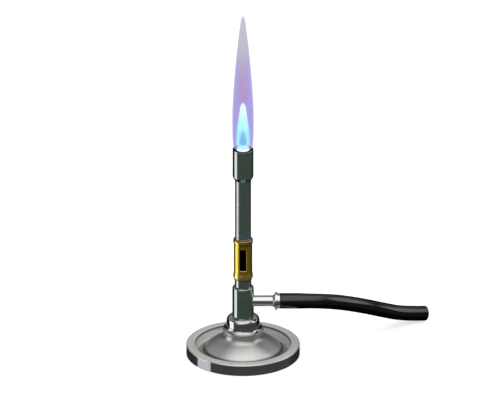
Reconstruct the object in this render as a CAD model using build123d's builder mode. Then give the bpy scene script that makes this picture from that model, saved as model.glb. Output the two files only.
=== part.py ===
from build123d import *
import math
import os

# Bunsen burner, millimetres.
# Frame: +Z up along the burner tube, origin on the bench under the tube, gas inlet along +X.
# Screw threads are plain cylinders at their nominal diameter.

os.makedirs("parts", exist_ok=True)

# ---------------------------------------------------------------- driving dimensions

BASE_RADIUS = 45.0  # round weighted base
RIM_TOP = 9.7  # height of the base's raised rim
RIM_CROWN = 0.1  # how far the middle of the rim's top stands above that
RIM_INNER_RADIUS = 38.0
GROOVE_RADIUS = 35.8  # foot of the dome, inside the rim
GROOVE_WIDTH = 1.0
GROOVE_HEIGHT = 2.0
DOME_MIDDLE = (26.0, 10.0)  # radius and height of a point half way down the dome
NECK_RADIUS = 15.2  # short neck that carries the seat ring
NECK_TOP = 21.6
NECK_FOOT = 15.6  # where the neck runs out into the dome
NECK_FILLET = 5.0  # soft blend between the two
BASE_UNDERSIDE = 0.5
POCKET_RADIUS = 9.0  # pocket under the base for the nut and washers
POCKET_ROOF = 17.0

PAD_INNER_RADIUS = 38.6  # anti-slip ring under the rim
PAD_OUTER_RADIUS = 43.4
PAD_THICKNESS = 1.2
PAD_GAP = 0.1

SEAT_RING_RADIUS = 16.4
SEAT_RING_TOP = 25.3
SEAT_RING_EDGE = 1.0  # height of its outer edge
SEAT_RING_STEP = 0.4  # how far it stands out round the lock collar's foot
COLLAR_RADIUS = 13.1
COLLAR_TOP = 33.4
COLLAR_SHOULDER = 3.6  # rounding of the collar's top edge
COLLAR_CLEARANCE = 0.05  # between the body and the rings round it

BODY_RADIUS = 8.55
BODY_TOP = 58.6
BODY_ROUNDING = 0.9  # of its top edge
CHAMBER_RADIUS = 3.0  # gas chamber between inlet and jet
CHAMBER_FLOOR = 41.0
SOCKET_FLOOR = 52.5  # bottom of the socket that the barrel screws into

STUD_RADIUS = 4.0  # M8 stud between base and body
STUD_BOTTOM = 6.0
STUD_TOP = 33.0
STUD_CLEARANCE = 0.2
NUT_ACROSS_FLATS = 13.0
NUT_HEIGHT = 6.5

INLET_HEIGHT = 46.0  # axis of the side inlet and of the hose
INLET_RADIUS = 4.4
INLET_BORE = 2.0
INLET_THREAD_RADIUS = 3.2
INLET_TIP = 3.6  # inner end of the inlet's thread, from the tube axis
SPOT_FACE = 5.9  # bottom of the counterbore that takes the washer and the inlet's shank
SPOT_FACE_RADIUS = 4.45
WASHER_FACE = 6.9  # outer face of that washer
FLANGE_START = 25.3
FLANGE_THICKNESS = 1.9
FLANGE_RADIUS = 7.2
FLANGE_COVE = 2.6  # length of the cove between shank and flange
HOSE_SHOULDER_RADIUS = 6.1
HOSE_START = 29.2  # the hose butts against the flange here
TAIL_END = 41.5  # end of the barbed tail inside the hose
TAIL_RADIUS = 3.6
BARB_RADIUS = 4.0  # the barbs just fill the hose's bore

BARREL_RADIUS = 6.4  # upper tube
BARREL_SEAT_RADIUS = 6.5  # turned seat under the air collar
BARREL_FOOT_RADIUS = 6.65
BARREL_BORE = 5.1
BARREL_TOP = 176.4
SEAT_TOP = 100.6
MIXING_BORE = 5.4  # wider bore at the foot, round the jet and the air ports
MIXING_TOP = 94.0

AIR_COLLAR_BOTTOM = 66.5
AIR_COLLAR_TOP = 99.8
AIR_COLLAR_BORE = 6.57  # 0.07 mm running clearance on the barrel
AIR_COLLAR_RADIUS = 7.35
AIR_COLLAR_BEAD = 7.85  # thicker rounded ends
PORT_COUNT = 3  # air ports, one of them at the front (-Y)
PORT_WIDTH = 5.2
PORT_BOTTOM = 74.4
PORT_TOP = 92.4
PORT_CORNER = 0.6
PORT_BEVEL = 0.25  # broken outer edge of the air collar's ports

SLEEVE_RADIUS = 8.3  # flame stabiliser at the mouth
SLEEVE_BOTTOM = 150.2
SLEEVE_TOP = 176.8
SLEEVE_CHAMFER_TOP = 153.3
SLEEVE_CHAMBER = 7.3
PILOT_HEIGHT = 158.0  # small feed holes for the pilot flames

HOSE_OUTER_RADIUS = 6.0
HOSE_BORE_RADIUS = 4.0
# The hose leaves the flange straight, droops back and to the side, and comes down to lie on the
# bench, where it ends in a square cut.
HOSE_POINTS = [
    (HOSE_START, 0.0, INLET_HEIGHT),
    (52.0, 0.0, INLET_HEIGHT),
    (73.0, 8.0, 41.8),
    (92.0, 24.0, 32.0),
    (110.0, 42.9, 19.8),
    (127.5, 57.5, 9.8),
    (145.5, 67.5, 6.0),
]

FRONT = -90.0  # direction of the front air port, degrees from +X
PORT_ANGLES = [FRONT + i * 360.0 / PORT_COUNT for i in range(PORT_COUNT)]


# ---------------------------------------------------------------- helpers


def radial_plane(angle, height, distance=0.0):
    """Plane that faces outward at this angle round the tube, with its local Y along the tube."""
    out = Vector(math.cos(math.radians(angle)), math.sin(math.radians(angle)), 0)
    side = Vector(-out.Y, out.X, 0)
    return Plane(origin=out * distance + Vector(0, 0, height), x_dir=side, z_dir=out)


def rings_at(part, radius, height, tolerance=0.05):
    """Circular edges of this radius about the tube axis, at this height."""
    circles = part.edges().filter_by(GeomType.CIRCLE)
    same = circles.filter_by(lambda e: abs(e.radius - radius) < tolerance)
    return same.filter_by(lambda e: abs(e.center().Z - height) < tolerance)


def port_rim(part):
    """Edges of the air ports on the air collar's outer surface."""

    def on_outer_surface(edge):
        middle = edge @ 0.5
        return math.hypot(middle.X, middle.Y) > AIR_COLLAR_RADIUS - 0.05

    between = part.edges().filter_by_position(Axis.Z, PORT_BOTTOM - 0.1, PORT_TOP + 0.1)
    return between.filter_by(on_outer_surface)


def finish_part(part, label):
    """Label a finished piece and write its STEP file."""
    part.label = label
    export_step(part, "parts/" + label + ".step")
    print(label, "solids", len(part.solids()), "volume", round(part.volume, 1))


# ---------------------------------------------------------------- base

RIM_INNER_EDGE = RIM_TOP - 0.2
RIM_OUTER_EDGE = RIM_TOP - 0.3
RIM_INNER_FILLET = 0.5
RIM_OUTER_FILLET = 0.8
GROOVE_FILLET = 0.9
BASE_EDGE = 0.4  # broken lower edge

# Solid casting: flat rim with a slightly crowned top, a groove, a low dome and a short neck.
with BuildPart() as base:
    with BuildSketch(Plane.XZ):
        with BuildLine():
            Polyline(
                (STUD_RADIUS + STUD_CLEARANCE, POCKET_ROOF),
                (STUD_RADIUS + STUD_CLEARANCE, NECK_TOP),
                (NECK_RADIUS, NECK_TOP),
                (NECK_RADIUS, NECK_FOOT),
            )
            ThreePointArc((NECK_RADIUS, NECK_FOOT), DOME_MIDDLE, (GROOVE_RADIUS, GROOVE_HEIGHT))
            Polyline(
                (GROOVE_RADIUS, GROOVE_HEIGHT),
                (GROOVE_RADIUS + GROOVE_WIDTH, GROOVE_HEIGHT),
                (RIM_INNER_RADIUS, RIM_INNER_EDGE),
            )
            ThreePointArc(
                (RIM_INNER_RADIUS, RIM_INNER_EDGE),
                ((RIM_INNER_RADIUS + BASE_RADIUS) / 2, RIM_TOP + RIM_CROWN),
                (BASE_RADIUS, RIM_OUTER_EDGE),
            )
            Polyline(
                (BASE_RADIUS, RIM_OUTER_EDGE),
                (BASE_RADIUS, BASE_UNDERSIDE),
                (PAD_OUTER_RADIUS + PAD_GAP, BASE_UNDERSIDE),
                (PAD_OUTER_RADIUS + PAD_GAP, PAD_THICKNESS),
                (PAD_INNER_RADIUS - PAD_GAP, PAD_THICKNESS),
                (PAD_INNER_RADIUS - PAD_GAP, BASE_UNDERSIDE),
                (POCKET_RADIUS, BASE_UNDERSIDE),
                (POCKET_RADIUS, POCKET_ROOF),
                (STUD_RADIUS + STUD_CLEARANCE, POCKET_ROOF),
            )
        make_face()
    revolve(axis=Axis.Z)
    fillet(rings_at(base.part, NECK_RADIUS, NECK_FOOT), radius=NECK_FILLET)
    fillet(rings_at(base.part, GROOVE_RADIUS + GROOVE_WIDTH, GROOVE_HEIGHT), radius=GROOVE_FILLET)
    fillet(rings_at(base.part, RIM_INNER_RADIUS, RIM_INNER_EDGE), radius=RIM_INNER_FILLET)
    fillet(rings_at(base.part, BASE_RADIUS, RIM_OUTER_EDGE), radius=RIM_OUTER_FILLET)
    fillet(rings_at(base.part, BASE_RADIUS, BASE_UNDERSIDE), radius=BASE_EDGE)
    fillet(rings_at(base.part, NECK_RADIUS, NECK_TOP), radius=0.3)
    chamfer(rings_at(base.part, POCKET_RADIUS, BASE_UNDERSIDE), length=0.5)
finish_part(base.part, "base")

# Anti-slip ring glued into a shallow recess under the rim. The burner stands on it.
with BuildPart() as base_pad:
    with BuildSketch():
        Circle(PAD_OUTER_RADIUS)
        Circle(PAD_INNER_RADIUS, mode=Mode.SUBTRACT)
    extrude(amount=PAD_THICKNESS)
    chamfer(base_pad.edges().group_by(Axis.Z)[0], length=0.25)
finish_part(base_pad.part, "base_pad")


# ---------------------------------------------------------------- ring and collar on the neck

# Flared seat ring between the neck and the lock collar, with a coved upper face.
with BuildPart() as seat_ring:
    with BuildSketch(Plane.XZ):
        with BuildLine():
            Polyline(
                (COLLAR_RADIUS + SEAT_RING_STEP, SEAT_RING_TOP),
                (BODY_RADIUS + COLLAR_CLEARANCE, SEAT_RING_TOP),
                (BODY_RADIUS + COLLAR_CLEARANCE, NECK_TOP),
                (SEAT_RING_RADIUS, NECK_TOP),
                (SEAT_RING_RADIUS, NECK_TOP + SEAT_RING_EDGE),
            )
            ThreePointArc(
                (SEAT_RING_RADIUS, NECK_TOP + SEAT_RING_EDGE),
                (COLLAR_RADIUS + SEAT_RING_STEP + 0.9, NECK_TOP + SEAT_RING_EDGE + 0.9),
                (COLLAR_RADIUS + SEAT_RING_STEP, SEAT_RING_TOP),
            )
        make_face()
    revolve(axis=Axis.Z)
    fillet(rings_at(seat_ring.part, SEAT_RING_RADIUS, NECK_TOP + SEAT_RING_EDGE), radius=0.3)
    chamfer(rings_at(seat_ring.part, SEAT_RING_RADIUS, NECK_TOP), length=0.25)
finish_part(seat_ring.part, "seat_ring")

GRUB_RADIUS = 1.5  # M3 grub screw at the back of the collar
GRUB_LENGTH = 4.0
GRUB_HEIGHT = 28.4
GRUB_START = BODY_RADIUS + 0.1
GRUB_KEY_RADIUS = 0.75  # half the width of its hexagon socket
GRUB_KEY_DEPTH = 1.6
BACK = 90.0

# Lock collar with a rounded shoulder; it clamps the body's foot to the neck.
with BuildPart() as lock_collar:
    with BuildSketch(Plane.XY.offset(SEAT_RING_TOP)):
        Circle(COLLAR_RADIUS)
    extrude(amount=COLLAR_TOP - SEAT_RING_TOP)
    fillet(rings_at(lock_collar.part, COLLAR_RADIUS, COLLAR_TOP), radius=COLLAR_SHOULDER)
    chamfer(rings_at(lock_collar.part, COLLAR_RADIUS, SEAT_RING_TOP), length=0.35)
    with BuildSketch(Plane.XY.offset(SEAT_RING_TOP)):
        Circle(BODY_RADIUS + COLLAR_CLEARANCE)
    extrude(amount=COLLAR_TOP - SEAT_RING_TOP, mode=Mode.SUBTRACT)
    with BuildSketch(radial_plane(BACK, GRUB_HEIGHT, BODY_RADIUS / 2)):
        Circle(GRUB_RADIUS)
    extrude(amount=COLLAR_RADIUS, mode=Mode.SUBTRACT)
finish_part(lock_collar.part, "lock_collar")

with BuildPart() as collar_grub_screw:
    with BuildSketch(radial_plane(BACK, GRUB_HEIGHT, GRUB_START)):
        Circle(GRUB_RADIUS)
    extrude(amount=GRUB_LENGTH)
    chamfer(collar_grub_screw.edges().group_by(Axis.Y)[0], length=0.4)
    with BuildSketch(radial_plane(BACK, GRUB_HEIGHT, GRUB_START + GRUB_LENGTH)):
        RegularPolygon(radius=GRUB_KEY_RADIUS, side_count=6, major_radius=False)
    extrude(amount=-GRUB_KEY_DEPTH, mode=Mode.SUBTRACT)
finish_part(collar_grub_screw.part, "collar_grub_screw")


# ---------------------------------------------------------------- body and its fastening

STUD_HOLE_SPARE = 1.0  # the stud's hole runs on past its end

# Turned body: blind hole for the stud, side port for the inlet, gas chamber, barrel socket.
with BuildPart() as burner_body:
    with BuildSketch(Plane.XY.offset(NECK_TOP)):
        Circle(BODY_RADIUS)
    extrude(amount=BODY_TOP - NECK_TOP)
    fillet(rings_at(burner_body.part, BODY_RADIUS, BODY_TOP), radius=BODY_ROUNDING)
    chamfer(rings_at(burner_body.part, BODY_RADIUS, NECK_TOP), length=0.3)
    with BuildSketch(Plane.XY.offset(NECK_TOP)):
        Circle(STUD_RADIUS)
    extrude(amount=STUD_TOP + STUD_HOLE_SPARE - NECK_TOP, mode=Mode.SUBTRACT)
    with BuildSketch(Plane.XY.offset(CHAMBER_FLOOR)):
        Circle(CHAMBER_RADIUS)
    extrude(amount=BODY_TOP - CHAMBER_FLOOR, mode=Mode.SUBTRACT)
    with BuildSketch(Plane.XY.offset(SOCKET_FLOOR)):
        Circle(BARREL_FOOT_RADIUS)
    extrude(amount=BODY_TOP - SOCKET_FLOOR, mode=Mode.SUBTRACT)
    with BuildSketch(radial_plane(0, INLET_HEIGHT, SPOT_FACE)):
        Circle(SPOT_FACE_RADIUS)
    extrude(amount=BODY_RADIUS, mode=Mode.SUBTRACT)
    with BuildSketch(radial_plane(0, INLET_HEIGHT, INLET_TIP)):
        Circle(INLET_THREAD_RADIUS)
    extrude(amount=BODY_RADIUS, mode=Mode.SUBTRACT)
    with BuildSketch(radial_plane(0, INLET_HEIGHT)):
        Circle(INLET_BORE)
    extrude(amount=BODY_RADIUS, mode=Mode.SUBTRACT)
finish_part(burner_body.part, "burner_body")

with BuildPart() as base_stud:
    with BuildSketch(Plane.XY.offset(STUD_BOTTOM)):
        Circle(STUD_RADIUS)
    extrude(amount=STUD_TOP - STUD_BOTTOM)
    chamfer(base_stud.edges().filter_by(GeomType.CIRCLE), length=0.6)
finish_part(base_stud.part, "base_stud")

PLAIN_WASHER_RADIUS = 8.0
PLAIN_WASHER_THICKNESS = 1.6
SPRING_WASHER_RADIUS = 7.0
SPRING_WASHER_THICKNESS = 2.0
SPRING_WASHER_GAP = 0.9
SPRING_WASHER_SLANT = 25.0  # degrees
SPRING_WASHER_TOP = POCKET_ROOF - PLAIN_WASHER_THICKNESS
NUT_TOP = SPRING_WASHER_TOP - SPRING_WASHER_THICKNESS
NUT_BOTTOM = NUT_TOP - NUT_HEIGHT
NUT_FACE_RADIUS = NUT_ACROSS_FLATS / 2 - 0.1  # of the flat ring on each face
NUT_CUT_RADIUS = NUT_ACROSS_FLATS / 2 + 1.4  # outside the corners
NUT_CUT_DEPTH = 0.8

with BuildPart() as plain_washer:
    with BuildSketch(Plane.XY.offset(POCKET_ROOF)):
        Circle(PLAIN_WASHER_RADIUS)
        Circle(STUD_RADIUS + STUD_CLEARANCE, mode=Mode.SUBTRACT)
    extrude(amount=-PLAIN_WASHER_THICKNESS)
    washer_circles = plain_washer.edges().filter_by(GeomType.CIRCLE)
    chamfer(washer_circles.group_by(SortBy.RADIUS)[-1], length=0.2)
finish_part(plain_washer.part, "plain_washer")

# Square-section spring washer, cut through on the slant.
with BuildPart() as spring_washer:
    with BuildSketch(Plane.XY.offset(SPRING_WASHER_TOP)):
        Circle(SPRING_WASHER_RADIUS)
        Circle(STUD_RADIUS + STUD_CLEARANCE, mode=Mode.SUBTRACT)
    extrude(amount=-SPRING_WASHER_THICKNESS)
    with BuildSketch(radial_plane(BACK, SPRING_WASHER_TOP - SPRING_WASHER_THICKNESS / 2)):
        with Locations(Rotation(0, 0, SPRING_WASHER_SLANT)):
            Rectangle(SPRING_WASHER_GAP, 4 * SPRING_WASHER_THICKNESS)
    extrude(amount=POCKET_RADIUS, mode=Mode.SUBTRACT)
finish_part(spring_washer.part, "spring_washer")

# Hexagon nut, its corners turned off at both faces.
with BuildPart() as base_nut:
    with BuildSketch(Plane.XY.offset(NUT_BOTTOM)):
        RegularPolygon(radius=NUT_ACROSS_FLATS / 2, side_count=6, major_radius=False)
    extrude(amount=NUT_HEIGHT)
    with BuildSketch(Plane.XZ):
        with BuildLine():
            Polyline(
                (0, NUT_TOP),
                (NUT_FACE_RADIUS, NUT_TOP),
                (NUT_CUT_RADIUS, NUT_TOP - NUT_CUT_DEPTH),
                (NUT_CUT_RADIUS, NUT_BOTTOM + NUT_CUT_DEPTH),
                (NUT_FACE_RADIUS, NUT_BOTTOM),
                (0, NUT_BOTTOM),
                close=True,
            )
        make_face()
    revolve(axis=Axis.Z, mode=Mode.INTERSECT)
    with BuildSketch(Plane.XY.offset(NUT_TOP)):
        Circle(STUD_RADIUS)
    extrude(amount=-NUT_HEIGHT, mode=Mode.SUBTRACT)
finish_part(base_nut.part, "base_nut")


# ---------------------------------------------------------------- gas inlet

INLET_PLANE = Plane(origin=(0, 0, INLET_HEIGHT), x_dir=(1, 0, 0), z_dir=(0, -1, 0))
FLANGE_END = FLANGE_START + FLANGE_THICKNESS
FLANGE_BEVEL = 0.3
COVE_START = FLANGE_START - FLANGE_COVE
BARB_COUNT = 3
BARB_LENGTH = 3.4
BARB_START = HOSE_START + 1.4
BARB_CREST = 0.5  # flat top of each barb
BARB_ROOT = TAIL_RADIUS - 0.5  # inside the tail

# Screwed inlet: thread, shank, coved flange, shoulder that the hose meets, and a barbed tail.
with BuildPart() as gas_inlet:
    with BuildSketch(INLET_PLANE):
        with BuildLine():
            Polyline(
                (HOSE_START, TAIL_RADIUS),
                (HOSE_START, HOSE_SHOULDER_RADIUS),
                (FLANGE_END, HOSE_SHOULDER_RADIUS),
                (FLANGE_END, FLANGE_RADIUS - FLANGE_BEVEL),
                (FLANGE_END - FLANGE_BEVEL, FLANGE_RADIUS),
                (FLANGE_START, FLANGE_RADIUS),
            )
            ThreePointArc(
                (FLANGE_START, FLANGE_RADIUS),
                (FLANGE_START - 0.7, INLET_RADIUS + 0.8),
                (COVE_START, INLET_RADIUS),
            )
            Polyline(
                (COVE_START, INLET_RADIUS),
                (WASHER_FACE, INLET_RADIUS),
                (WASHER_FACE, INLET_THREAD_RADIUS),
                (INLET_TIP + FLANGE_BEVEL, INLET_THREAD_RADIUS),
                (INLET_TIP, INLET_THREAD_RADIUS - FLANGE_BEVEL),
                (INLET_TIP, INLET_BORE),
                (TAIL_END, INLET_BORE),
                (TAIL_END, TAIL_RADIUS),
                (HOSE_START, TAIL_RADIUS),
            )
        make_face()
        for i in range(BARB_COUNT):
            start = BARB_START + i * BARB_LENGTH
            end = start + BARB_LENGTH - 0.2
            with BuildLine():
                Polyline(
                    (start, BARB_ROOT),
                    (start, BARB_RADIUS),
                    (start + BARB_CREST, BARB_RADIUS),
                    (end, TAIL_RADIUS - 0.05),
                    (end, BARB_ROOT),
                    close=True,
                )
            make_face()
    revolve(axis=Axis((0, 0, INLET_HEIGHT), (1, 0, 0)))
finish_part(gas_inlet.part, "gas_inlet")

# Fibre sealing washer at the bottom of the counterbore, under the end of the inlet's shank.
with BuildPart() as inlet_washer:
    with BuildSketch(radial_plane(0, INLET_HEIGHT, SPOT_FACE)):
        Circle(INLET_RADIUS)
        Circle(INLET_THREAD_RADIUS, mode=Mode.SUBTRACT)
    extrude(amount=WASHER_FACE - SPOT_FACE)
finish_part(inlet_washer.part, "inlet_washer")


# ---------------------------------------------------------------- jet

JET_WASHER_RADIUS = 4.5
JET_WASHER_TOP = SOCKET_FLOOR + 0.6
JET_HEX_RADIUS = 4.0  # half the width across its flats
JET_HEX_TOP = JET_WASHER_TOP + 3.0
JET_NOZZLE_RADIUS = 2.6
JET_TIP_RADIUS = 1.3
JET_TIP = 64.5
JET_TAPER = 4.0
JET_THREAD_BOTTOM = 48.6
JET_BORE = 1.3
JET_ORIFICE = 0.4
JET_ORIFICE_LENGTH = 3.0

with BuildPart() as jet_washer:
    with BuildSketch(Plane.XY.offset(SOCKET_FLOOR)):
        Circle(JET_WASHER_RADIUS)
        Circle(CHAMBER_RADIUS, mode=Mode.SUBTRACT)
    extrude(amount=JET_WASHER_TOP - SOCKET_FLOOR)
finish_part(jet_washer.part, "jet_washer")

# Injector: thread in the gas chamber, spanner hexagon, tapered nozzle with a fine orifice.
with BuildPart() as gas_jet:
    with BuildSketch(Plane.XY.offset(JET_WASHER_TOP)):
        RegularPolygon(radius=JET_HEX_RADIUS, side_count=6, major_radius=False)
    extrude(amount=JET_HEX_TOP - JET_WASHER_TOP)
    with BuildSketch(Plane.XZ):
        with BuildLine():
            Polyline(
                (0, JET_THREAD_BOTTOM),
                (CHAMBER_RADIUS - 0.3, JET_THREAD_BOTTOM),
                (CHAMBER_RADIUS, JET_THREAD_BOTTOM + 0.3),
                (CHAMBER_RADIUS, JET_WASHER_TOP),
                (JET_NOZZLE_RADIUS + 0.5, JET_WASHER_TOP),
                (JET_NOZZLE_RADIUS + 0.5, JET_HEX_TOP),
                (JET_NOZZLE_RADIUS, JET_HEX_TOP + 0.5),
                (JET_NOZZLE_RADIUS, JET_TIP - JET_TAPER),
                (JET_TIP_RADIUS, JET_TIP),
                (0, JET_TIP),
                close=True,
            )
        make_face()
    revolve(axis=Axis.Z)
    with BuildSketch(Plane.XY.offset(JET_THREAD_BOTTOM)):
        Circle(JET_BORE)
    extrude(amount=JET_TIP - JET_ORIFICE_LENGTH - JET_THREAD_BOTTOM, mode=Mode.SUBTRACT)
    with BuildSketch(Plane.XY.offset(JET_TIP)):
        Circle(JET_ORIFICE)
    extrude(amount=-JET_ORIFICE_LENGTH - 1.0, mode=Mode.SUBTRACT)
finish_part(gas_jet.part, "gas_jet")


# ---------------------------------------------------------------- barrel and air collar

SNAP_GROOVE_RADIUS = 6.0
SNAP_RING_RADIUS = 7.1
SNAP_RING_GAP = 6.0
SNAP_BOTTOM = 65.3
SNAP_TOP = 66.3
PILOT_COUNT = 6
PILOT_RADIUS = 0.6
FOOT_BEVEL = 0.4
LIP_BEVEL = 0.2
MOUTH_BEVEL = 0.4

# Burner tube, screwed into the body, with air ports behind the air collar.
with BuildPart() as barrel:
    with BuildSketch(Plane.XZ):
        with BuildLine():
            Polyline(
                (MIXING_BORE, SOCKET_FLOOR),
                (BARREL_FOOT_RADIUS - FOOT_BEVEL, SOCKET_FLOOR),
                (BARREL_FOOT_RADIUS, SOCKET_FLOOR + FOOT_BEVEL),
                (BARREL_FOOT_RADIUS, SNAP_BOTTOM),
                (SNAP_GROOVE_RADIUS, SNAP_BOTTOM),
                (SNAP_GROOVE_RADIUS, SNAP_TOP),
                (BARREL_SEAT_RADIUS, SNAP_TOP),
                (BARREL_SEAT_RADIUS, SEAT_TOP),
                (BARREL_RADIUS, SEAT_TOP + BARREL_SEAT_RADIUS - BARREL_RADIUS),
                (BARREL_RADIUS, BARREL_TOP - LIP_BEVEL),
                (BARREL_RADIUS - LIP_BEVEL, BARREL_TOP),
                (BARREL_BORE + MOUTH_BEVEL, BARREL_TOP),
                (BARREL_BORE, BARREL_TOP - MOUTH_BEVEL),
                (BARREL_BORE, MIXING_TOP + MIXING_BORE - BARREL_BORE),
                (MIXING_BORE, MIXING_TOP),
                close=True,
            )
        make_face()
    revolve(axis=Axis.Z)
    for angle in PORT_ANGLES:
        with BuildSketch(radial_plane(angle, (PORT_BOTTOM + PORT_TOP) / 2)):
            RectangleRounded(PORT_WIDTH, PORT_TOP - PORT_BOTTOM, PORT_CORNER)
        extrude(amount=BARREL_FOOT_RADIUS + 1.0, mode=Mode.SUBTRACT)
    for i in range(PILOT_COUNT):
        with BuildSketch(radial_plane(i * 360.0 / PILOT_COUNT, PILOT_HEIGHT)):
            Circle(PILOT_RADIUS)
        extrude(amount=BARREL_FOOT_RADIUS + 1.0, mode=Mode.SUBTRACT)
finish_part(barrel.part, "barrel")

# Spring clip in the barrel's groove. It carries the air collar.
with BuildPart() as snap_ring:
    with BuildSketch(Plane.XY.offset(SNAP_BOTTOM)):
        Circle(SNAP_RING_RADIUS)
        Circle(SNAP_GROOVE_RADIUS, mode=Mode.SUBTRACT)
        with Locations((0, SNAP_RING_RADIUS)):
            Rectangle(SNAP_RING_GAP, SNAP_RING_RADIUS, mode=Mode.SUBTRACT)
    extrude(amount=SNAP_TOP - SNAP_BOTTOM)
finish_part(snap_ring.part, "snap_ring")

SPRING_GROOVE_BOTTOM = 96.6
SPRING_GROOVE_TOP = 97.8
SPRING_GROOVE_RADIUS = 7.0
SPRING_GAP = 4.0  # opening of the spring ring
SPRING_PLAY = 0.03  # radial play of the spring ring
SPRING_END_PLAY = 0.1
BEAD_LENGTH = 2.3
BEAD_TAPER = 2.4  # from the bead down to the waist
BEAD_END_ROUNDING = 0.95
BEAD_BACK_ROUNDING = 5.0

# Air regulator: a sleeve with rounded thicker ends, an inner groove and matching air ports.
with BuildPart() as air_collar:
    with BuildSketch(Plane.XZ):
        with BuildLine():
            Polyline(
                (AIR_COLLAR_RADIUS, AIR_COLLAR_BOTTOM + BEAD_LENGTH + BEAD_TAPER),
                (AIR_COLLAR_RADIUS, AIR_COLLAR_TOP - BEAD_LENGTH - BEAD_TAPER),
                (AIR_COLLAR_BEAD, AIR_COLLAR_TOP - BEAD_LENGTH),
                (AIR_COLLAR_BEAD, AIR_COLLAR_TOP),
                (AIR_COLLAR_BORE, AIR_COLLAR_TOP),
                (AIR_COLLAR_BORE, SPRING_GROOVE_TOP),
                (SPRING_GROOVE_RADIUS, SPRING_GROOVE_TOP),
                (SPRING_GROOVE_RADIUS, SPRING_GROOVE_BOTTOM),
                (AIR_COLLAR_BORE, SPRING_GROOVE_BOTTOM),
                (AIR_COLLAR_BORE, AIR_COLLAR_BOTTOM),
                (AIR_COLLAR_BEAD, AIR_COLLAR_BOTTOM),
                (AIR_COLLAR_BEAD, AIR_COLLAR_BOTTOM + BEAD_LENGTH),
                close=True,
            )
        make_face()
    revolve(axis=Axis.Z)
    for height in (AIR_COLLAR_TOP, AIR_COLLAR_BOTTOM):
        fillet(rings_at(air_collar.part, AIR_COLLAR_BEAD, height), radius=BEAD_END_ROUNDING)
    for height in (AIR_COLLAR_TOP - BEAD_LENGTH, AIR_COLLAR_BOTTOM + BEAD_LENGTH):
        fillet(rings_at(air_collar.part, AIR_COLLAR_BEAD, height), radius=BEAD_BACK_ROUNDING)
    for angle in PORT_ANGLES:
        with BuildSketch(radial_plane(angle, (PORT_BOTTOM + PORT_TOP) / 2)):
            RectangleRounded(PORT_WIDTH, PORT_TOP - PORT_BOTTOM, PORT_CORNER)
        extrude(amount=AIR_COLLAR_BEAD + 1.0, mode=Mode.SUBTRACT)
    chamfer(port_rim(air_collar.part), length=PORT_BEVEL)
finish_part(air_collar.part, "air_collar")

# Open spring ring in the air collar's inner groove. It rubs on the barrel and holds the setting.
with BuildPart() as friction_ring:
    with BuildSketch(Plane.XY.offset(SPRING_GROOVE_BOTTOM + SPRING_END_PLAY)):
        Circle(SPRING_GROOVE_RADIUS - SPRING_PLAY)
        Circle(BARREL_SEAT_RADIUS + SPRING_PLAY, mode=Mode.SUBTRACT)
        with Locations((0, SPRING_GROOVE_RADIUS)):
            Rectangle(SPRING_GAP, SPRING_GROOVE_RADIUS, mode=Mode.SUBTRACT)
    extrude(amount=SPRING_GROOVE_TOP - SPRING_GROOVE_BOTTOM - 2 * SPRING_END_PLAY)
finish_part(friction_ring.part, "friction_ring")


# ---------------------------------------------------------------- flame stabiliser

SLEEVE_GRIP_TOP = 155.5  # top of the stretch that is pressed on the barrel
SLEEVE_FOOT_WALL = 0.25  # wall left at the foot of the outer chamfer
SLEEVE_LIP_BEVEL = 0.4
SLEEVE_MOUTH_BEVEL = 0.3
PILOT_RING_BOTTOM = 172.0
PILOT_RING_TOP = 176.2
PILOT_SLOT_COUNT = 16
PILOT_SLOT_DEPTH = 1.1
PILOT_SLOT_WIDTH = 0.9
PILOT_SLOT_CORNER = 0.2

# Stabiliser sleeve: pressed on the barrel at its foot, with a gas space above.
with BuildPart() as stabiliser_sleeve:
    with BuildSketch(Plane.XZ):
        with BuildLine():
            Polyline(
                (BARREL_RADIUS, SLEEVE_BOTTOM),
                (BARREL_RADIUS + SLEEVE_FOOT_WALL, SLEEVE_BOTTOM),
                (SLEEVE_RADIUS, SLEEVE_CHAMFER_TOP),
                (SLEEVE_RADIUS, SLEEVE_TOP - SLEEVE_LIP_BEVEL),
                (SLEEVE_RADIUS - SLEEVE_LIP_BEVEL, SLEEVE_TOP),
                (SLEEVE_CHAMBER + SLEEVE_MOUTH_BEVEL, SLEEVE_TOP),
                (SLEEVE_CHAMBER, SLEEVE_TOP - SLEEVE_MOUTH_BEVEL),
                (SLEEVE_CHAMBER, SLEEVE_GRIP_TOP + SLEEVE_CHAMBER - BARREL_RADIUS),
                (BARREL_RADIUS, SLEEVE_GRIP_TOP),
                close=True,
            )
        make_face()
    revolve(axis=Axis.Z)
    fillet(rings_at(stabiliser_sleeve.part, SLEEVE_RADIUS, SLEEVE_CHAMFER_TOP), radius=0.8)
finish_part(stabiliser_sleeve.part, "stabiliser_sleeve")

# Slotted ring between barrel and sleeve; the pilot flames burn above its slots.
with BuildPart() as pilot_ring:
    with BuildSketch(Plane.XY.offset(PILOT_RING_BOTTOM)):
        Circle(SLEEVE_CHAMBER)
        Circle(BARREL_RADIUS, mode=Mode.SUBTRACT)
        with PolarLocations(SLEEVE_CHAMBER, PILOT_SLOT_COUNT):
            RectangleRounded(
                PILOT_SLOT_DEPTH, PILOT_SLOT_WIDTH, PILOT_SLOT_CORNER, mode=Mode.SUBTRACT
            )
    extrude(amount=PILOT_RING_TOP - PILOT_RING_BOTTOM)
finish_part(pilot_ring.part, "pilot_ring")


# ---------------------------------------------------------------- hose


def bend_radii(points):
    """Bend radius at each inner point: 0.45 of the shorter run over the tangent of half the turn."""
    radii = []
    for i in range(1, len(points) - 1):
        before = Vector(*points[i]) - Vector(*points[i - 1])
        after = Vector(*points[i + 1]) - Vector(*points[i])
        half_turn = math.radians(before.get_angle(after)) / 2
        radii.append(0.45 * min(before.length, after.length) / math.tan(half_turn))
    return radii


HOSE_RADII = bend_radii(HOSE_POINTS)

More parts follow.
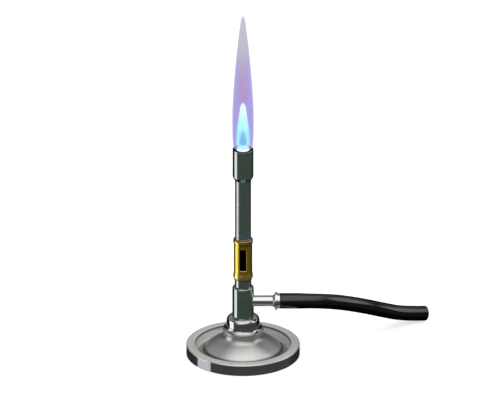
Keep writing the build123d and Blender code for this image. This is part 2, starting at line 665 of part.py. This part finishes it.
# Rubber tube along straight runs and tangent arcs.
with BuildPart() as gas_hose:
    with BuildLine() as hose_path:
        FilletPolyline(*HOSE_POINTS, radius=HOSE_RADII)
    with BuildSketch(Plane(origin=HOSE_POINTS[0], z_dir=(1, 0, 0))):
        Circle(HOSE_OUTER_RADIUS)
        Circle(HOSE_BORE_RADIUS, mode=Mode.SUBTRACT)
    sweep(path=hose_path.wires()[0])
finish_part(gas_hose.part, "gas_hose")

hose_length = hose_path.wires()[0].length
hose_section = math.pi * (HOSE_OUTER_RADIUS**2 - HOSE_BORE_RADIUS**2)
print("hose bend radii", [round(r, 1) for r in HOSE_RADII])
print("hose length", round(hose_length, 2), "section x length", round(hose_section * hose_length, 1))
print("hose volume", round(gas_hose.part.volume, 1))
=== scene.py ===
import math

import bpy
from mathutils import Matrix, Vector


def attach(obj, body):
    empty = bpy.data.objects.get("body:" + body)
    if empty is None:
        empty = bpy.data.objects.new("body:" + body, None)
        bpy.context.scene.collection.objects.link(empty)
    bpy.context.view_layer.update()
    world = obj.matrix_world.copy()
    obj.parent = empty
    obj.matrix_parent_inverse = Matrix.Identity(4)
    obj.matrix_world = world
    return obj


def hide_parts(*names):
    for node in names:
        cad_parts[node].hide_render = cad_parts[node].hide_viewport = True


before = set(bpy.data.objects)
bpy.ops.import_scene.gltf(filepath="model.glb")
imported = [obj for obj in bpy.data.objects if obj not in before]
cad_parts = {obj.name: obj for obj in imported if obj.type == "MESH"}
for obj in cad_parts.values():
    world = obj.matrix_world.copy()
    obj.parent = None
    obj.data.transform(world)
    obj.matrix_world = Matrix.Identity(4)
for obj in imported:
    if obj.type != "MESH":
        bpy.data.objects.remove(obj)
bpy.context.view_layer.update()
scene = bpy.context.scene


# ---------------------------------------------------------------- camera

VIEW_ELEVATION = math.radians(23.0)
VIEW_DISTANCE = 10.0
VIEW_WIDTH = 0.395  # what the frame spans at the tube's axis
VIEW_AIM = Vector((0.0055, 0.0, 0.1328))
SENSOR_WIDTH = 36.0  # mm


def make_camera():
    """Long-lens camera that looks along +Y and a little down."""
    data = bpy.data.cameras.new("camera")
    data.sensor_width = SENSOR_WIDTH
    data.lens = SENSOR_WIDTH * VIEW_DISTANCE / VIEW_WIDTH
    data.clip_start = 0.1
    data.clip_end = 50.0
    camera = bpy.data.objects.new("camera", data)
    scene.collection.objects.link(camera)
    back = Vector((0.0, -math.cos(VIEW_ELEVATION), math.sin(VIEW_ELEVATION)))
    camera.location = VIEW_AIM + back * VIEW_DISTANCE
    camera.rotation_euler = (-back).to_track_quat("-Z", "Y").to_euler()
    scene.camera = camera


make_camera()


# ---------------------------------------------------------------- mesh helpers


def mesh_object(name, verts, faces):
    """A smooth-shaded mesh object made of these points and faces."""
    mesh = bpy.data.meshes.new(name)
    mesh.from_pydata(verts, [], faces)
    mesh.validate()
    for polygon in mesh.polygons:
        polygon.use_smooth = True
    made = bpy.data.objects.new(name, mesh)
    scene.collection.objects.link(made)
    return made


def ring_faces(first, second, count):
    """Quads between two rings of points, given by their first indices."""
    return [
        (first + k, first + (k + 1) % count, second + (k + 1) % count, second + k)
        for k in range(count)
    ]


# ---------------------------------------------------------------- hose

HOSE_DIAMETER = 0.012
HOSE_BORE_RADIUS = 0.004
HOSE_SIDES = 56
HOSE_BULGE = 0.0003  # how far the inlet's barbs swell the hose
HOSE_BULGE_END = 0.022  # the swelling fades over the last third of this length
BARB_PITCH = 0.0034
HOSE_WAVE = 0.00003  # slight unevenness of the rubber, and its two wave numbers
HOSE_WAVE_FAST = 150.0
HOSE_WAVE_SLOW = 61.0
HOSE_EDGE = 0.0005  # rounding of the cut end's outer edge
HOSE_EDGE_STEPS = 3
BORE_EDGE = 0.0002  # chamfer of its inner edge
HOSE_POINTS = [
    (0.0292, 0.0, 0.046),
    (0.052, 0.0, 0.046),
    (0.073, 0.008, 0.0418),
    (0.092, 0.024, 0.032),
    (0.110, 0.0429, 0.0198),
    (0.1275, 0.0575, 0.0098),
    (0.1455, 0.0675, 0.006),
]


def spline_points(points, resolution):
    """Points along the NURBS spline that has these control points."""
    curve = bpy.data.curves.new("route", "CURVE")
    curve.dimensions = "3D"
    curve.resolution_u = resolution
    spline = curve.splines.new("NURBS")
    spline.points.add(len(points) - 1)
    for point, place in zip(spline.points, points):
        point.co = (*place, 1.0)
    spline.order_u = 3
    spline.use_endpoint_u = True
    route = bpy.data.objects.new("route", curve)
    scene.collection.objects.link(route)
    line = bpy.data.meshes.new_from_object(route)
    path = [v.co.copy() for v in line.vertices]
    bpy.data.objects.remove(route)
    bpy.data.curves.remove(curve)
    bpy.data.meshes.remove(line)
    return path


def frames_along(path):
    """At each point: its distance from the start, and two directions square to the path."""
    found = []
    side = Vector((0.0, 0.0, 1.0))
    travelled = 0.0
    for i, point in enumerate(path):
        before = path[max(i - 1, 0)]
        after = path[min(i + 1, len(path) - 1)]
        ahead = (after - before).normalized()
        side = (side - ahead * side.dot(ahead)).normalized()
        if i:
            travelled += (point - path[i - 1]).length
        found.append((travelled, side.copy(), ahead.cross(side)))
    return found


def hose_radius(along):
    """Outer radius at this distance along the hose."""
    left = max(0.0, 1.0 - along / HOSE_BULGE_END)
    barbs = 0.75 + 0.25 * math.cos(2 * math.pi * along / BARB_PITCH)
    wave = HOSE_WAVE * math.sin(along * HOSE_WAVE_FAST) * math.sin(along * HOSE_WAVE_SLOW)
    return HOSE_DIAMETER / 2 + HOSE_BULGE * barbs * min(1.0, 3.0 * left) + wave


def hose_surface(path, frames):
    """Points and faces of the hollow tube: its outside, its cut end and its bore."""
    length = frames[-1][0]
    verts = []
    rings = []

    def add_ring(centre, side, up, radius):
        rings.append(len(verts))
        for k in range(HOSE_SIDES):
            turn = 2 * math.pi * k / HOSE_SIDES
            verts.append(centre + (side * math.cos(turn) + up * math.sin(turn)) * radius)

    before_end = [
        (point, along, side, up)
        for point, (along, side, up) in zip(path, frames)
        if along < length - HOSE_EDGE
    ]
    for point, along, side, up in before_end:
        add_ring(point, side, up, hose_radius(along))

    end = path[-1]
    _, side, up = frames[-1]
    ahead = (end - path[-2]).normalized()
    for step in range(HOSE_EDGE_STEPS + 1):
        turn = math.pi / 2 * step / HOSE_EDGE_STEPS
        centre = end - ahead * HOSE_EDGE * (1 - math.sin(turn))
        add_ring(centre, side, up, hose_radius(length) - HOSE_EDGE * (1 - math.cos(turn)))
    add_ring(end, side, up, HOSE_BORE_RADIUS + BORE_EDGE)
    add_ring(end - ahead * BORE_EDGE, side, up, HOSE_BORE_RADIUS)

    for point, along, side, up in reversed(before_end):
        add_ring(point, side, up, HOSE_BORE_RADIUS)
    faces = []
    for first, second in zip(rings, rings[1:] + rings[:1]):
        faces += ring_faces(first, second, HOSE_SIDES)
    return verts, faces


def make_hose():
    """Hollow rubber tube along its route, with a plain square cut at its free end."""
    path = spline_points(HOSE_POINTS, 20)
    frames = frames_along(path)
    verts, faces = hose_surface(path, frames)
    hose = mesh_object("hose", verts, faces)
    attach(hose, "burner")
    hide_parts("gas_hose")


make_hose()


# ---------------------------------------------------------------- node helpers

INLET_HEIGHT = 0.046  # of the gas inlet's axis
TURNING_STREAK = 0.6  # how much the turning marks change round the axis


class NodeTree:
    """Adds nodes to a node tree. A node's input takes a value or another node's output."""

    def __init__(self, tree):
        self.nodes = tree.nodes
        self.links = tree.links

    def feed(self, socket, value):
        if isinstance(value, bpy.types.NodeSocket):
            self.links.new(value, socket)
        else:
            socket.default_value = value

    def node(self, kind, inputs=None, **settings):
        made = self.nodes.new(kind)
        for key, value in settings.items():
            setattr(made, key, value)
        for socket, value in (inputs or {}).items():
            self.feed(made.inputs[socket], value)
        return made

    def math(self, operation, a, b=0.0):
        return self.node("ShaderNodeMath", {0: a, 1: b}, operation=operation).outputs[0]

    def plus(self, a, b):
        return self.math("ADD", a, b)

    def minus(self, a, b):
        return self.math("SUBTRACT", a, b)

    def times(self, first, *factors):
        product = first
        for factor in factors:
            product = self.math("MULTIPLY", product, factor)
        return product

    def highest(self, first, *others):
        found = first
        for other in others:
            found = self.math("MAXIMUM", found, other)
        return found

    def step(self, value, low, high, start=0.0, end=1.0):
        """start below low, end above high, and smooth between them."""
        made = self.node(
            "ShaderNodeMapRange",
            {0: value, 1: low, 2: high, 3: start, 4: end},
            interpolation_type="SMOOTHSTEP",
        )
        return made.outputs[0]

    def edge(self, value, place, softness, start=0.0, end=1.0):
        """start before this place, end after it, and smooth within the softness on both sides."""
        return self.step(value, place - softness, place + softness, start, end)

    def between(self, value, low, high, softness):
        """One from low to high, and zero outside them."""
        rise = self.edge(value, low, softness)
        return self.times(rise, self.edge(value, high, softness, 1.0, 0.0))

    def place(self, space="Object"):
        """Coordinates of a point. In the space "Object" they are metres in the object's frame."""
        return self.node("ShaderNodeTexCoord").outputs[space]

    def axes(self, space="Object"):
        split = self.node("ShaderNodeSeparateXYZ", {0: self.place(space)})
        return split.outputs[0], split.outputs[1], split.outputs[2]

    def radius(self, a, b):
        """Distance from the axis that is square to both coordinates."""
        return self.math("SQRT", self.plus(self.times(a, a), self.times(b, b)))


class Finish(NodeTree):
    """A material under construction: its nodes, its links and its main shader."""

    def __init__(self, name, **sockets):
        self.material = bpy.data.materials.new(name)
        self.material.use_nodes = True
        super().__init__(self.material.node_tree)
        self.shader = self.nodes["Principled BSDF"]
        for socket, value in sockets.items():
            self.shader.inputs[socket.replace("_", " ")].default_value = value

    def noise(self, vector, scale, detail, roughness):
        made = self.node(
            "ShaderNodeTexNoise",
            {"Vector": vector, "Scale": scale, "Detail": detail, "Roughness": roughness},
        )
        return made.outputs["Fac"]

    def mix(self, factor, first, second):
        """Blend of two colours."""
        made = self.node("ShaderNodeMix", data_type="RGBA")
        self.feed(made.inputs[0], factor)
        for socket, value in ((made.inputs[6], first), (made.inputs[7], second)):
            self.feed(socket, (*value, 1.0) if isinstance(value, tuple) else value)
        return made.outputs[2]

    def turned(self, along_x=False):
        """Coordinates in mm that run fast across a turned surface and slowly round its axis."""
        x, y, z = self.axes()
        if along_x:
            x, y, z = y, self.minus(z, INLET_HEIGHT), x
        angle = self.math("ARCTAN2", y, x)
        made = self.node(
            "ShaderNodeCombineXYZ",
            {
                0: self.times(self.radius(x, y), 1000.0),
                1: self.times(z, 1000.0),
                2: self.times(angle, TURNING_STREAK),
            },
        )
        return made.outputs[0]

    def bump(self, height, strength, distance):
        made = self.node(
            "ShaderNodeBump", {"Height": height, "Strength": strength, "Distance": distance}
        )
        self.links.new(made.outputs[0], self.shader.inputs["Normal"])

    def colour(self, socket):
        self.links.new(socket, self.shader.inputs["Base Color"])

    def roughness(self, socket):
        self.links.new(socket, self.shader.inputs["Roughness"])

    def metallic(self, socket):
        self.links.new(socket, self.shader.inputs["Metallic"])


def dress(material, *names):
    """Give these CAD nodes or pieces this material alone."""
    for name in names:
        data = bpy.data.objects[name].data
        data.materials.clear()
        data.materials.append(material)


# ---------------------------------------------------------------- materials

# Places on the base: radii from the tube's axis, and one height.
NECK_SHADE = 0.015  # painted shade on the dome is darkest here, under the neck
DOME_CLEAR = 0.030  # and has its full colour, without painted shade, from here outwards
DOME_FOOT = 0.0302  # painted shade darkens the dome towards the groove
GROOVE = 0.0322  # the groove is lighter again, with less painted shade
RIM_WALL = 0.0364  # the rim's inner wall starts
RIM_CREASE = 0.0380  # painted shadow line along the inner edge of its top
RIM_TOP = 0.03825  # its top starts
RIM_LIP = 0.04425  # its rounded outer edge starts
RIM_SIDE = 0.0444  # its outer side starts
RIM_SIDE_TOP = 0.0088  # height at which that side ends

# Places on the stem: radii from its axis, and heights.
TUBE_BORE = 0.00585  # what is nearer to the axis is inside the tube
TUBE_SKIN = 0.0070  # the tube's outside is nearer to the axis than this
TUBE_DULL_FOOT = 0.080  # and is duller above this height
MOUTH_RADIUS = 0.00815  # what is nearer to the axis, and higher than MOUTH_FOOT, is the mouth
MOUTH_FOOT = 0.159
STEM_TOP = 0.1768
BLUED_FOOT = 0.099  # the band that heat has blued: where it starts,
BLUED_MOST = 0.102  # where it is strongest,
BLUED_TOP = 0.110  # and where it has faded

# Places on the air collar: radii from its axis, and a height.
COLLAR_BORE = 0.007175  # what is nearer to the axis is its bore
COLLAR_BEADS = 0.00765  # what is further out is its rounded ends
COLLAR_TOP = 0.0985


def nickel_base():
    """Satin nickel over a turned casting: bright dome, paler and duller rim, dark polished side.
    Painted shade under the neck, at the dome's foot and along the rim's inner edge, and painted
    light on the rim's inner wall.
    """
    f = Finish("nickel_base", Anisotropic=0.4, Anisotropic_Rotation=0.25)
    tangent = f.node("ShaderNodeTangent", direction_type="RADIAL", axis="Z")
    f.links.new(tangent.outputs[0], f.shader.inputs["Tangent"])
    x, y, z = f.axes()
    radius = f.radius(x, y)
    streaks = f.noise(f.turned(), 3.0, 4.0, 0.65)
    clouds = f.noise(f.place(), 55.0, 4.0, 0.6)
    tone = f.plus(f.times(streaks, 0.5), f.times(clouds, 0.5))
    rim = f.edge(radius, RIM_WALL, 0.0003)
    wall = f.minus(rim, f.edge(radius, RIM_TOP, 0.00025))
    side = f.times(f.edge(z, RIM_SIDE_TOP, 0.0001, 1.0, 0.0), f.edge(radius, RIM_SIDE, 0.0002))
    lip = f.highest(f.minus(f.edge(radius, RIM_LIP, 0.00015), side), 0.0)

    dome_skin = f.mix(tone, (0.52, 0.52, 0.51), (0.66, 0.66, 0.645))
    # Painted shade: the dome is darkened under the neck, most at NECK_SHADE.
    painted_neck_shade = f.step(radius, NECK_SHADE, DOME_CLEAR, 0.25, 0.0)
    dome_skin = f.mix(painted_neck_shade, dome_skin, (0.10, 0.10, 0.095))
    # Painted shade: the dome's foot is darkened towards the groove, and less so in the groove
    # itself.
    foot = f.edge(radius, DOME_FOOT, 0.0008, 0.0, 0.9)
    foot = f.minus(foot, f.edge(radius, GROOVE, 0.0008, 0.0, 0.55))
    dome_skin = f.mix(foot, dome_skin, (0.08, 0.08, 0.075))
    rim_skin = f.mix(tone, (0.66, 0.66, 0.65), (0.78, 0.78, 0.76))
    # Painted light: the rim's inner wall is painted paler than its top.
    rim_skin = f.mix(wall, rim_skin, (0.86, 0.86, 0.84))
    side_skin = f.mix(tone, (0.215, 0.22, 0.24), (0.255, 0.26, 0.285))
    skin = f.mix(side, f.mix(rim, dome_skin, rim_skin), side_skin)
    # Painted shadow: a thin dark line along the inner edge of the rim's top.
    from_crease = f.math("ABSOLUTE", f.minus(radius, RIM_CREASE))
    painted_crease_shadow = f.step(from_crease, 0.0001, 0.0004, 1.0, 0.0)
    f.colour(f.mix(painted_crease_shadow, skin, (0.12, 0.12, 0.12)))

    dull = f.plus(f.times(rim, 0.5), f.times(wall, 0.1))
    dull = f.minus(dull, f.times(side, 0.52))
    dull = f.minus(dull, f.times(lip, 0.5))
    f.metallic(f.minus(0.88, dull))
    satin = f.plus(0.30, f.times(tone, 0.14))
    f.roughness(f.times(satin, f.minus(1.0, f.times(side, 0.9))))
    f.bump(streaks, 0.06, 0.0002)
    return f.material


def bright_plate(name, dark, light, along_x=False):
    """Bright nickel plate with faint turning marks and smudges."""
    f = Finish(name, Metallic=1.0)
    marks = f.noise(f.turned(along_x), 5.0, 3.0, 0.6)
    smudges = f.noise(f.place(), 160.0, 4.0, 0.6)
    f.colour(f.mix(smudges, dark, light))
    f.roughness(f.plus(0.06, f.times(marks, smudges, 0.2)))
    f.bump(marks, 0.03, 0.0001)
    return f.material


def stem_finish():
    """Glossy dark green-grey stem, duller on the tube, blued above the air collar, painted black as
    shade inside, in the mouth and on its top edge.
    """
    f = Finish("stem_finish", IOR=3.9)
    x, y, z = f.axes()
    radius = f.radius(x, y)
    marks = f.noise(f.turned(), 4.0, 3.0, 0.6)
    clouds = f.noise(f.place(), 90.0, 4.0, 0.6)
    skin = f.mix(clouds, (0.008, 0.034, 0.018), (0.014, 0.048, 0.026))
    blued = f.times(f.step(z, BLUED_FOOT, BLUED_MOST), f.step(z, BLUED_MOST, BLUED_TOP, 1.0, 0.0))
    skin = f.mix(blued, skin, (0.006, 0.048, 0.064))
    inside = f.edge(radius, TUBE_BORE, 0.00025, 1.0, 0.0)
    mouth = f.times(f.edge(radius, MOUTH_RADIUS, 0.00005, 1.0, 0.0), f.edge(z, MOUTH_FOOT, 0.001))
    # Painted shade: the bore, the mouth and the top edge are painted black with no reflection, and
    # made rough.
    painted_inner_shade = f.highest(inside, mouth, f.edge(z, STEM_TOP - 0.00025, 0.00015))
    f.colour(f.mix(painted_inner_shade, skin, (0.003, 0.003, 0.006)))
    f.metallic(painted_inner_shade)
    tube = f.times(f.edge(radius, TUBE_SKIN, 0.0002, 1.0, 0.0), f.edge(z, TUBE_DULL_FOOT, 0.010))
    dull = f.times(f.plus(tube, f.times(painted_inner_shade, 4.0)), 0.2)
    wear = f.times(marks, clouds, 0.16)
    f.roughness(f.plus(f.plus(0.03, dull), wear))
    f.bump(marks, 0.008, 0.0001)
    return f.material


def brass():
    """Polished brass, paler on its rounded ends, with painted shade inside and on its top."""
    f = Finish("brass", Metallic=1.0)
    x, y, z = f.axes()
    radius = f.radius(x, y)
    marks = f.noise(f.turned(), 4.0, 4.0, 0.6)
    clouds = f.noise(f.place(), 130.0, 4.0, 0.6)
    skin = f.mix(clouds, (0.84, 0.56, 0.07), (0.92, 0.62, 0.09))
    skin = f.mix(f.edge(radius, COLLAR_BEADS, 0.00025), skin, (0.93, 0.66, 0.14))
    within = f.edge(radius, COLLAR_BORE, 0.000075, 1.0, 0.0)
    # Painted shade: the bore and the top are painted darker.
    painted_collar_shade = f.highest(within, f.edge(z, COLLAR_TOP, 0.0005, 0.0, 0.75))
    f.colour(f.mix(painted_collar_shade, skin, (0.22, 0.15, 0.03)))
    f.roughness(f.plus(0.28, f.times(marks, clouds, 0.2)))
    f.bump(marks, 0.015, 0.0001)
    return f.material


def plain_steel(name, light, dark, roughness):
    """Small steel parts: zinc plate or spring steel."""
    f = Finish(name, Metallic=1.0)
    clouds = f.noise(f.place(), 400.0, 4.0, 0.6)
    f.colour(f.mix(clouds, dark, light))
    f.roughness(f.plus(roughness, f.times(clouds, 0.18)))
    f.bump(clouds, 0.05, 0.0001)
    return f.material


def rubber(name, light, dark, roughness, grain):
    """Black rubber with a fine grain and a dusty bloom."""
    f = Finish(name, Specular_IOR_Level=0.65)
    bloom = f.noise(f.place(), 70.0, 5.0, 0.6)
    speckle = f.noise(f.place(), grain, 3.0, 0.6)
    f.colour(f.mix(bloom, dark, light))
    f.roughness(f.plus(roughness, f.times(bloom, 0.14)))
    f.bump(speckle, 0.12, 0.0001)
    return f.material


def fibre():
    """Pale pressed fibre."""
    f = Finish("fibre", Roughness=0.75)
    strands = f.noise(f.place(), 900.0, 5.0, 0.7)
    f.colour(f.mix(strands, (0.52, 0.47, 0.38), (0.80, 0.77, 0.69)))
    f.bump(strands, 0.25, 0.0001)
    return f.material


def dress_all():
    """Every CAD node and the hose get their material."""
    dress(nickel_base(), "base")
    plate = bright_plate("bright_plate", (0.42, 0.42, 0.415), (0.52, 0.52, 0.51))
    dress(plate, "seat_ring", "lock_collar")
    inlet = bright_plate("bright_inlet", (0.58, 0.58, 0.57), (0.68, 0.68, 0.67), along_x=True)
    dress(inlet, "gas_inlet")
    dress(stem_finish(), "burner_body", "barrel", "stabiliser_sleeve", "pilot_ring")
    dress(brass(), "air_collar", "gas_jet")
    zinc = plain_steel("zinc_steel", (0.72, 0.73, 0.74), (0.50, 0.51, 0.53), 0.2)
    dress(zinc, "base_stud", "plain_washer", "base_nut", "collar_grub_screw")
    spring = plain_steel("spring_steel", (0.30, 0.30, 0.31), (0.16, 0.16, 0.17), 0.3)
    dress(spring, "spring_washer", "snap_ring", "friction_ring")
    hose = rubber("hose_rubber", (0.0016, 0.0016, 0.0015), (0.0004, 0.0004, 0.0004), 0.08, 1500.0)
    dress(hose, "hose", "gas_hose")
    pad = rubber("pad_rubber", (0.05, 0.05, 0.05), (0.02, 0.02, 0.02), 0.6, 900.0)
    dress(pad, "base_pad")
    dress(fibre(), "inlet_washer", "jet_washer")


dress_all()


# ---------------------------------------------------------------- stage

FLOOR_REACH = 6.0  # how far it runs from the tube on each side
FLOOR_GLOW = 0.62  # lifts it towards the white of the backdrop


def make_floor():
    """Wide white floor with a soft shadow. Mirror-like surfaces see the studio beyond it."""
    corners = [(-1, -1), (1, -1), (1, 1), (-1, 1)]
    verts = [(x * FLOOR_REACH, y * FLOOR_REACH, 0.0) for x, y in corners]
    floor = mesh_object("floor", verts, [(0, 1, 2, 3)])
    f = Finish("floor", Base_Color=(0.75, 0.75, 0.75, 1.0), Roughness=0.9)
    f.shader.inputs["Emission Color"].default_value = (1.0, 1.0, 1.0, 1.0)
    f.shader.inputs["Emission Strength"].default_value = FLOOR_GLOW
    floor.data.materials.append(f.material)
    floor.visible_glossy = False


make_floor()


# ---------------------------------------------------------------- flame

FLAME_SIDES = 48
HOLLOW_GAP = 1.06  # a zone's hollow is this much wider than the zone that it holds
HOLLOW_RISE = 1.02  # and this much higher
# Each zone's outline: radius and height above the top of the stem.
FLAME_OUTER = [
    (0.0066, 0.0002),
    (0.0082, 0.0009),
    (0.0086, 0.014),
    (0.0087, 0.034),
    (0.0076, 0.053),
    (0.0063, 0.069),
    (0.0044, 0.088),
    (0.0024, 0.106),
    (0.0014, 0.113),
    (0.0, 0.113),
]
FLAME_MIDDLE = [
    (0.0058, 0.0002),
    (0.0064, 0.010),
    (0.0056, 0.026),
    (0.0044, 0.040),
    (0.0026, 0.052),
    (0.0018, 0.068),
    (0.0016, 0.082),
    (0.0, 0.089),
]
FLAME_CONE = [
    (0.0050, 0.0027),
    (0.0055, 0.006),
    (0.0049, 0.016),
    (0.0030, 0.030),
    (0.0013, 0.0398),
    (0.0, 0.0388),
]
FLAME_HOLLOW = [(0.0036, 0.0027), (0.0037, 0.007), (0.0024, 0.016), (0.0006, 0.022), (0.0, 0.022)]
FLAME_CORE = [(0.0, 0.003), (0.0031, 0.003), (0.0029, 0.007), (0.0016, 0.013), (0.0, 0.020)]
FLAME_GLOW = [(0.0047, -0.003), (0.0050, -0.001), (0.0050, 0.0024), (0.0, 0.0024)]


def turned_surface(outline, inward):
    """Points and faces of the surface that this outline sweeps round the tube's axis."""
    path = spline_points([(radius, 0.0, STEM_TOP + height) for radius, height in outline], 6)
    verts = []
    for point in path:
        for k in range(FLAME_SIDES):
            turn = 2 * math.pi * k / FLAME_SIDES
            verts.append((point.x * math.cos(turn), point.x * math.sin(turn), point.z))
    faces = []
    for first in range(0, len(verts) - FLAME_SIDES, FLAME_SIDES):
        faces += ring_faces(first, first + FLAME_SIDES, FLAME_SIDES)
    if inward:
        faces = [face[::-1] for face in faces]
    return verts, faces


def zone_surface(outline, hollow):
    """Points and faces round a zone of the flame: its outline, closed by its hollow or its foot."""
    verts, faces = turned_surface(outline, False)
    if not hollow:
        return verts, faces + [tuple(reversed(range(FLAME_SIDES)))]
    foot = outline[0][1]
    around = [(radius * HOLLOW_GAP, max(height * HOLLOW_RISE, foot)) for radius, height in hollow]
    inner_verts, inner_faces = turned_surface(around, True)
    start = len(verts)
    faces += [tuple(start + index for index in face) for face in inner_faces]
    faces += ring_faces(start, 0, FLAME_SIDES)
    return verts + inner_verts, faces


def flame_zone(name, outline, heights, colours, opacity, hollow=None):
    """One zone of the flame: glowing gas between its outline and its hollow, or up to its axis.

    Colour and opacity go through their three values at the three heights.
    """
    zone = mesh_object(name, *zone_surface(outline, hollow))
    f = Finish(name)
    f.nodes.remove(f.shader)
    _, _, z = f.axes()
    low, middle, high = [STEM_TOP + height for height in heights]
    colour = f.mix(f.step(z, low, middle), colours[0], colours[1])
    colour = f.mix(f.step(z, middle, high), colour, colours[2])
    density = f.step(z, middle, high, 0.0, opacity[2] - opacity[1])
    density = f.plus(f.step(z, low, middle, opacity[0], opacity[1]), density)
    glow = f.node("ShaderNodeEmission", {"Color": colour, "Strength": density})
    veil = f.node("ShaderNodeVolumeAbsorption", {"Color": (0.0, 0.0, 0.0, 1.0), "Density": density})
    both = f.node("ShaderNodeAddShader", {0: glow.outputs[0], 1: veil.outputs[0]})
    f.links.new(both.outputs[0], f.nodes["Material Output"].inputs["Volume"])
    zone.data.materials.append(f.material)
    zone.visible_shadow = False
    zone.visible_glossy = False


LILAC = ((0.30, 0.30, 0.73), (0.38, 0.345, 0.70), (0.52, 0.53, 0.62))
PINK = ((0.52, 0.24, 0.82), (0.76, 0.27, 0.22), (0.85, 0.28, 0.26))
CYAN = ((0.34, 1.60, 1.30), (0.80, 2.10, 1.50), (2.00, 3.40, 2.60))
BLUE = ((0.05, 0.40, 0.85), (0.0, 0.03, 0.70), (0.0, 0.08, 0.72))
WHITE = ((1.20, 1.50, 1.50), (1.20, 1.50, 1.50), (0.80, 1.25, 1.30))
flame_zone(
    "flame_outer", FLAME_OUTER, (0.004, 0.055, 0.095), LILAC, (240.0, 265.0, 700.0), FLAME_MIDDLE,
)
flame_zone(
    "flame_middle", FLAME_MIDDLE, (0.036, 0.050, 0.078), PINK, (110.0, 1000.0, 2400.0), FLAME_CONE,
)
flame_zone(
    "flame_cone", FLAME_CONE, (0.012, 0.023, 0.037), CYAN, (300.0, 800.0, 3200.0), FLAME_HOLLOW,
)
flame_zone("flame_core", FLAME_CORE, (0.003, 0.006, 0.012), BLUE, (900.0, 2000.0, 2000.0))
flame_zone("flame_glow", FLAME_GLOW, (-0.003, -0.001, 0.002), WHITE, (300.0, 1500.0, 600.0))


# ---------------------------------------------------------------- studio light

# Widths, heights and places are those on a sphere of radius 1 round the burner.
LIGHT_LOW = 0.09  # surroundings below the horizon
LIGHT_BEHIND = 0.015  # the same, behind the burner
LIGHT_UNDER = 0.05  # share of it that is left straight below
LIGHT_HIGH = 0.18  # above the horizon
BOX_LIGHT = 1.5  # large soft light overhead, towards the front
BOX_WIDTH = 0.6
BOX_EDGE = 0.32
BOX_TURN = 0.35  # the overhead light reaches further back on the right
BOX_FRONT = math.radians(23.0)  # elevation of its front edge, counted from the front horizon
BOX_FRONT_SOFT = math.radians(15.0)  # half the width of that soft edge
BOX_BACK = math.radians(108.0)  # the same for its rear edge, which is past the zenith
BOX_BACK_SOFT = math.radians(14.0)
BACK_LIGHT = 0.6  # soft light behind the burner, fading towards the horizon
BACK_HALF = 0.4  # half its width
WING_LIGHT = 0.45  # soft lights further out on both sides, behind it
WING_BOTTOM = 0.3
WING_TOP = 0.9
SIDE_LIGHT = 1.7  # small soft light at the right, which draws the hose's highlight
SIDE_PLACE = (0.87, 0.14, 0.47)  # its direction
SIDE_RIM = 0.92  # cosine of the angle from that direction to its rim
PANEL_LIGHT = 2.05  # tall light panel at the left
PANEL_SIDE = math.radians(-88.0)  # its direction, from the front towards -X
PANEL_HALF = math.radians(18.0)
PANEL_TOP = 0.35
PANEL_BOTTOM = -0.75


def ambient_light(s, y, z):
    """Grey surroundings: brighter above the horizon, darker behind the burner and below it."""
    low = s.step(y, 0.2, 0.5, LIGHT_LOW, LIGHT_BEHIND)
    low = s.times(low, s.step(z, -0.70, -0.45, LIGHT_UNDER, 1.0))
    high = s.step(z, 0.10, 0.30)
    return s.plus(s.times(high, LIGHT_HIGH), s.times(s.minus(1.0, high), low))


def overhead_light(s, x, y, z):
    """Large soft box over the burner and in front of it."""
    elevation = s.math("ARCTAN2", z, s.times(y, -1.0))
    rise = s.minus(elevation, s.times(x, BOX_TURN))
    front = s.edge(rise, BOX_FRONT, BOX_FRONT_SOFT)
    back = s.edge(rise, BOX_BACK, BOX_BACK_SOFT, 1.0, 0.0)
    across = s.edge(s.math("ABSOLUTE", x), BOX_WIDTH, BOX_EDGE, 1.0, 0.0)
    return s.times(front, back, across, BOX_LIGHT)


def back_light(s, x, y, z):
    """Soft light high behind the burner."""
    across = s.between(x, -BACK_HALF, BACK_HALF, 0.15)
    rise = s.times(s.step(z, 0.15, 0.65), s.step(z, 0.60, 0.72, 1.0, 0.0))
    return s.times(across, rise, s.step(y, 0.0, 0.3), BACK_LIGHT)


def wing_lights(s, x, y, z):
    """Soft lights to the left and to the right behind the burner."""
    outside = s.step(s.math("ABSOLUTE", x), BACK_HALF, BACK_HALF + 0.2)
    rise = s.between(z, WING_BOTTOM, WING_TOP, 0.12)
    return s.times(outside, rise, s.step(y, 0.0, 0.3), WING_LIGHT)


def side_light(s):
    """Small round light at the right."""
    direction = s.place("Generated")
    aim = s.node("ShaderNodeVectorMath", {0: direction, 1: SIDE_PLACE}, operation="DOT_PRODUCT")
    return s.times(s.edge(aim.outputs["Value"], SIDE_RIM, 0.02), SIDE_LIGHT)


def panel_light(s, x, y, z):
    """Tall panel at the left, with hard edges."""
    side = s.math("ARCTAN2", x, s.times(y, -1.0))
    across = s.between(side, PANEL_SIDE - PANEL_HALF, PANEL_SIDE + PANEL_HALF, 0.02)
    return s.times(across, s.between(z, PANEL_BOTTOM, PANEL_TOP, 0.03), PANEL_LIGHT)


def make_studio():
    """Surroundings that the metal mirrors. The camera itself sees a white backdrop."""
    world = bpy.data.worlds.new("studio")
    scene.world = world
    world.use_nodes = True
    world.node_tree.nodes.clear()
    s = NodeTree(world.node_tree)
    x, y, z = s.axes("Generated")
    strength = s.highest(
        ambient_light(s, y, z),
        panel_light(s, x, y, z),
        overhead_light(s, x, y, z),
        back_light(s, x, y, z),
        wing_lights(s, x, y, z),
        side_light(s),
    )
    white = (1.0, 1.0, 1.0, 1.0)
    studio = s.node("ShaderNodeBackground", {"Color": white, "Strength": strength})
    backdrop = s.node("ShaderNodeBackground", {"Color": white, "Strength": 1.0})
    ray = s.node("ShaderNodeLightPath")
    shown = s.node(
        "ShaderNodeMixShader",
        {0: ray.outputs["Is Camera Ray"], 1: studio.outputs[0], 2: backdrop.outputs[0]},
    )
    s.node("ShaderNodeOutputWorld", {0: shown.outputs[0]})


make_studio()
scene.view_settings.view_transform = "Standard"
